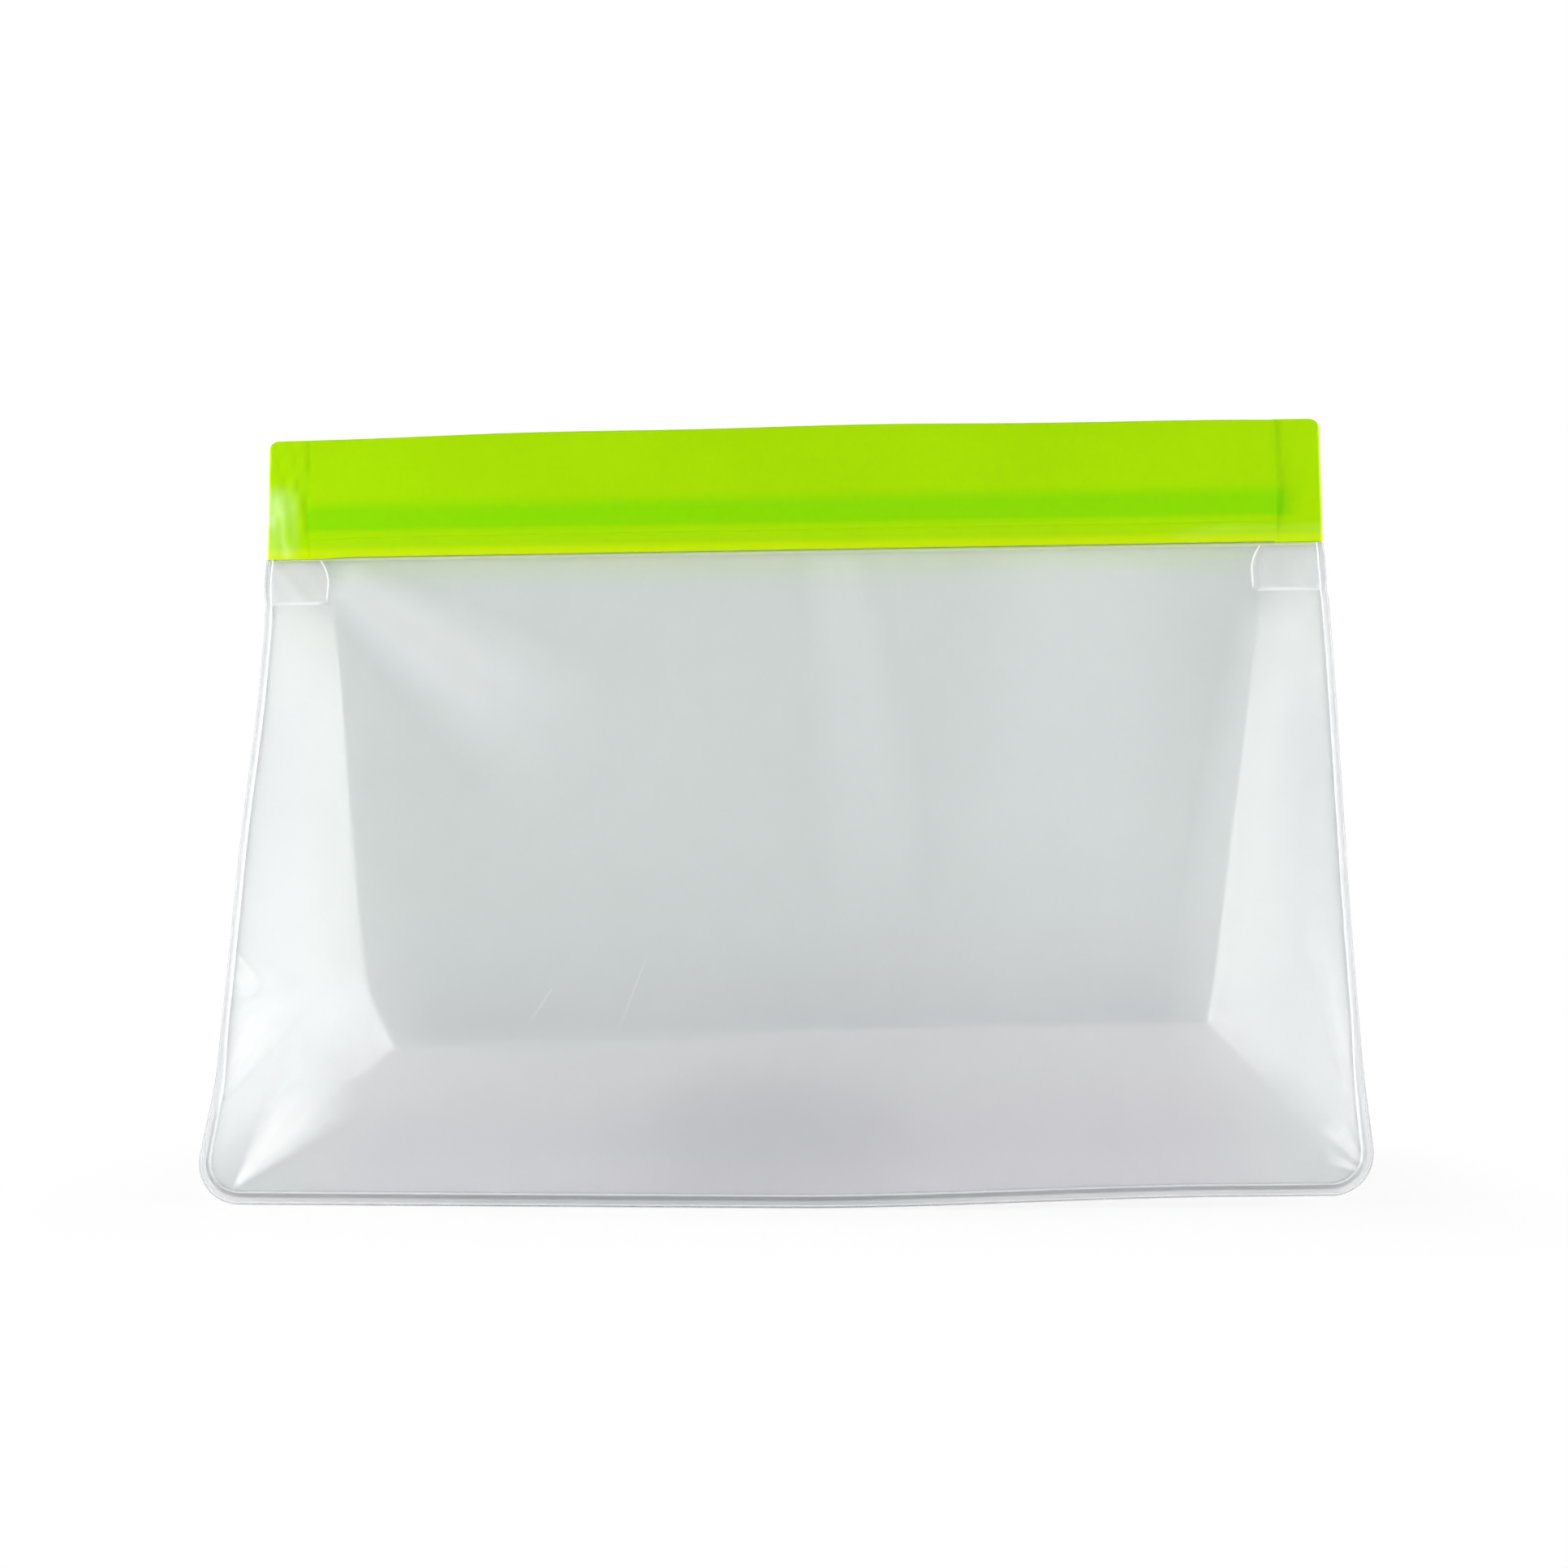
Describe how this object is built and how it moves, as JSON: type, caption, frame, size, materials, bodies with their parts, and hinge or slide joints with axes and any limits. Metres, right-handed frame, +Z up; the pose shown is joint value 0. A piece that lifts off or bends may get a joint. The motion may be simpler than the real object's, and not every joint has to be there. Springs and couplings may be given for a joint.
{
  "type": "reusable zip storage bag",
  "caption": "Translucent stand-up film storage bag with a green press-to-close zip band, welded seams and a gusset that folds in at the sides and base.",
  "frame": {"origin": "centre of the footprint on the floor, under the middle of the zip", "axes": "+X along the zip to the bag's right, +Y from the front wall to the back wall, +Z up"},
  "size_m": [0.215, 0.041, 0.147],
  "materials": {
    "film": "frosted translucent film",
    "weld": "fused glossy translucent film",
    "zip": "satin lime green, slightly translucent"
  },
  "bodies": {
    "back_wall": {"back_panel": "film", "back_left_seam": "weld", "back_right_seam": "weld", "back_base_seam": "weld", "back_zip_strip": "zip", "left_end_weld": "zip", "right_end_weld": "zip", "left_gusset_patch": "weld", "right_gusset_patch": "weld"},
    "front_rim": {"front_left_seam": "weld", "front_right_seam": "weld", "front_base_seam": "weld"},
    "front_wall": {"front_panel": "film"},
    "front_lip": {"front_zip_strip": "zip"},
    "front_left_fold": {"front_left_gusset": "film"},
    "front_right_fold": {"front_right_gusset": "film"},
    "front_base_fold": {"front_base_gusset": "film"},
    "back_left_fold": {"back_left_gusset": "film"},
    "back_right_fold": {"back_right_gusset": "film"},
    "back_base_fold": {"back_base_gusset": "film"}
  },
  "joints": [
    {"name": "fold_flat", "type": "hinge", "parent": "back_wall", "child": "front_rim", "pos_m": [0, 0, 0.123], "axis": [-1, 0, 0], "range_deg": [-17.15, 0]},
    {"name": "mouth_open", "type": "hinge", "parent": "back_wall", "child": "front_lip", "pos_m": [0, -0.0197, 0.00208], "axis": [1, 0, 0], "range_deg": [0, 12]},
    {"name": "wall_bow", "type": "hinge", "parent": "front_rim", "child": "front_wall", "pos_m": [0, -0.0197, 0.00208], "axis": [1, 0, 0], "range_deg": [0, 12]},
    {"name": "front_left_crease", "type": "hinge", "parent": "front_rim", "child": "front_left_fold", "pos_m": [-0.1029, -0.00046, 0.12307], "axis": [0.0201, 0.1491, 0.9886], "range_deg": [-30, 0]},
    {"name": "front_right_crease", "type": "hinge", "parent": "front_rim", "child": "front_right_fold", "pos_m": [0.1029, -0.00046, 0.12307], "axis": [0.0201, -0.1491, -0.9886], "range_deg": [-30, 0]},
    {"name": "front_base_crease", "type": "hinge", "parent": "front_rim", "child": "front_base_fold", "pos_m": [0, -0.01873, 0.00193], "axis": [-1, 0, 0], "range_deg": [-27.43, 0]},
    {"name": "back_left_crease", "type": "hinge", "parent": "back_wall", "child": "back_left_fold", "pos_m": [-0.1029, 0.00046, 0.12307], "axis": [-0.0201, 0.1491, -0.9886], "range_deg": [-30, 0]},
    {"name": "back_right_crease", "type": "hinge", "parent": "back_wall", "child": "back_right_fold", "pos_m": [0.1029, 0.00046, 0.12307], "axis": [-0.0201, -0.1491, 0.9886], "range_deg": [-30, 0]},
    {"name": "back_base_crease", "type": "hinge", "parent": "back_wall", "child": "back_base_fold", "pos_m": [0, 0.01873, 0.00193], "axis": [1, 0, 0], "range_deg": [-27.43, 0]}
  ],
  "couplings": [
    {"joint": "wall_bow", "follows": "mouth_open", "ratio": 1},
    {"joint": "front_left_crease", "follows": "fold_flat", "ratio": 1.7488},
    {"joint": "front_right_crease", "follows": "fold_flat", "ratio": 1.7488},
    {"joint": "front_base_crease", "follows": "fold_flat", "ratio": 1.5992},
    {"joint": "back_left_crease", "follows": "fold_flat", "ratio": 1.7488},
    {"joint": "back_right_crease", "follows": "fold_flat", "ratio": 1.7488},
    {"joint": "back_base_crease", "follows": "fold_flat", "ratio": 1.5992}
  ]
}
